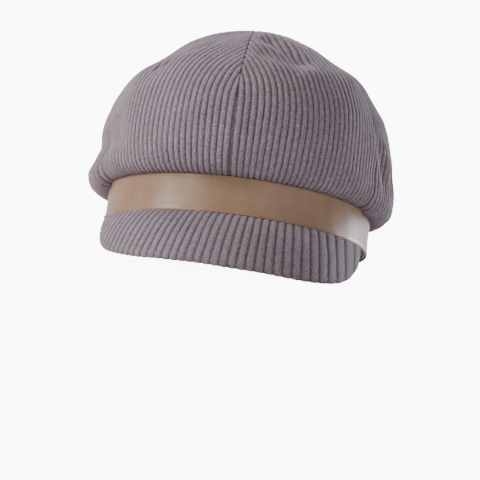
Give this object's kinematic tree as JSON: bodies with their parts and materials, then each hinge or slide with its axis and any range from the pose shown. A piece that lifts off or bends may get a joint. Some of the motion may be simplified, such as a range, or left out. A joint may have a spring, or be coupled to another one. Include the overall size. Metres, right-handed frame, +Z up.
{
  "type": "newsboy cap",
  "caption": "Soft newsboy cap: panelled wide-wale corduroy crown, smooth leather band and short stiffened visor that flexes at its seam.",
  "frame": {"origin": "centre of the head opening, in the plane of the rim", "axes": "+Z up with the cap standing on its visor edge and the back of its band; front (visor) towards -Y; +X towards the wearer's left; the rim plane leans back by 10.25 degrees"},
  "size_m": [0.201, 0.2565, 0.1571],
  "materials": {
    "corduroy": "wide-wale cotton corduroy, mauve grey, matt with a soft pile sheen",
    "brown_leather": "smooth brown leather, satin",
    "satin_lining": "plain woven satin lining",
    "cotton_sweatband": "cotton twill, matt",
    "interlining": "stiff woven buckram, matt",
    "visor_board": "pressed board, matt",
    "button_metal": "plain pressed steel",
    "thread": "sewing thread, matt",
    "leather_thread": "sewing thread, matt",
    "woven_label": "blank woven label, matt"
  },
  "bodies": {
    "cap": {"back_label": "woven_label", "band_interlining": "interlining", "band_lap_stitches": "leather_thread", "button_cover": "corduroy", "button_shell": "button_metal", "button_tack": "button_metal", "button_washer": "button_metal", "crown_back_left": "corduroy", "crown_back_right": "corduroy", "crown_front_left": "corduroy", "crown_front_right": "corduroy", "crown_side_left": "corduroy", "crown_side_right": "corduroy", "leather_band": "brown_leather", "lining_back_left": "satin_lining", "lining_back_right": "satin_lining", "lining_front_left": "satin_lining", "lining_front_right": "satin_lining", "lining_side_left": "satin_lining", "lining_side_right": "satin_lining", "sweatband": "cotton_sweatband", "sweatband_stitches": "thread"},
    "visor": {"visor_top_cover": "corduroy", "visor_board": "visor_board", "visor_under_cover": "corduroy"}
  },
  "joints": [
    {"name": "visor_flex", "type": "hinge", "parent": "cap", "child": "visor", "pos_m": [0, -0.02849, 0.00515], "axis": [1, 0, 0], "range_deg": [-8, 8], "stiffness_Nm_per_rad": 3}
  ]
}
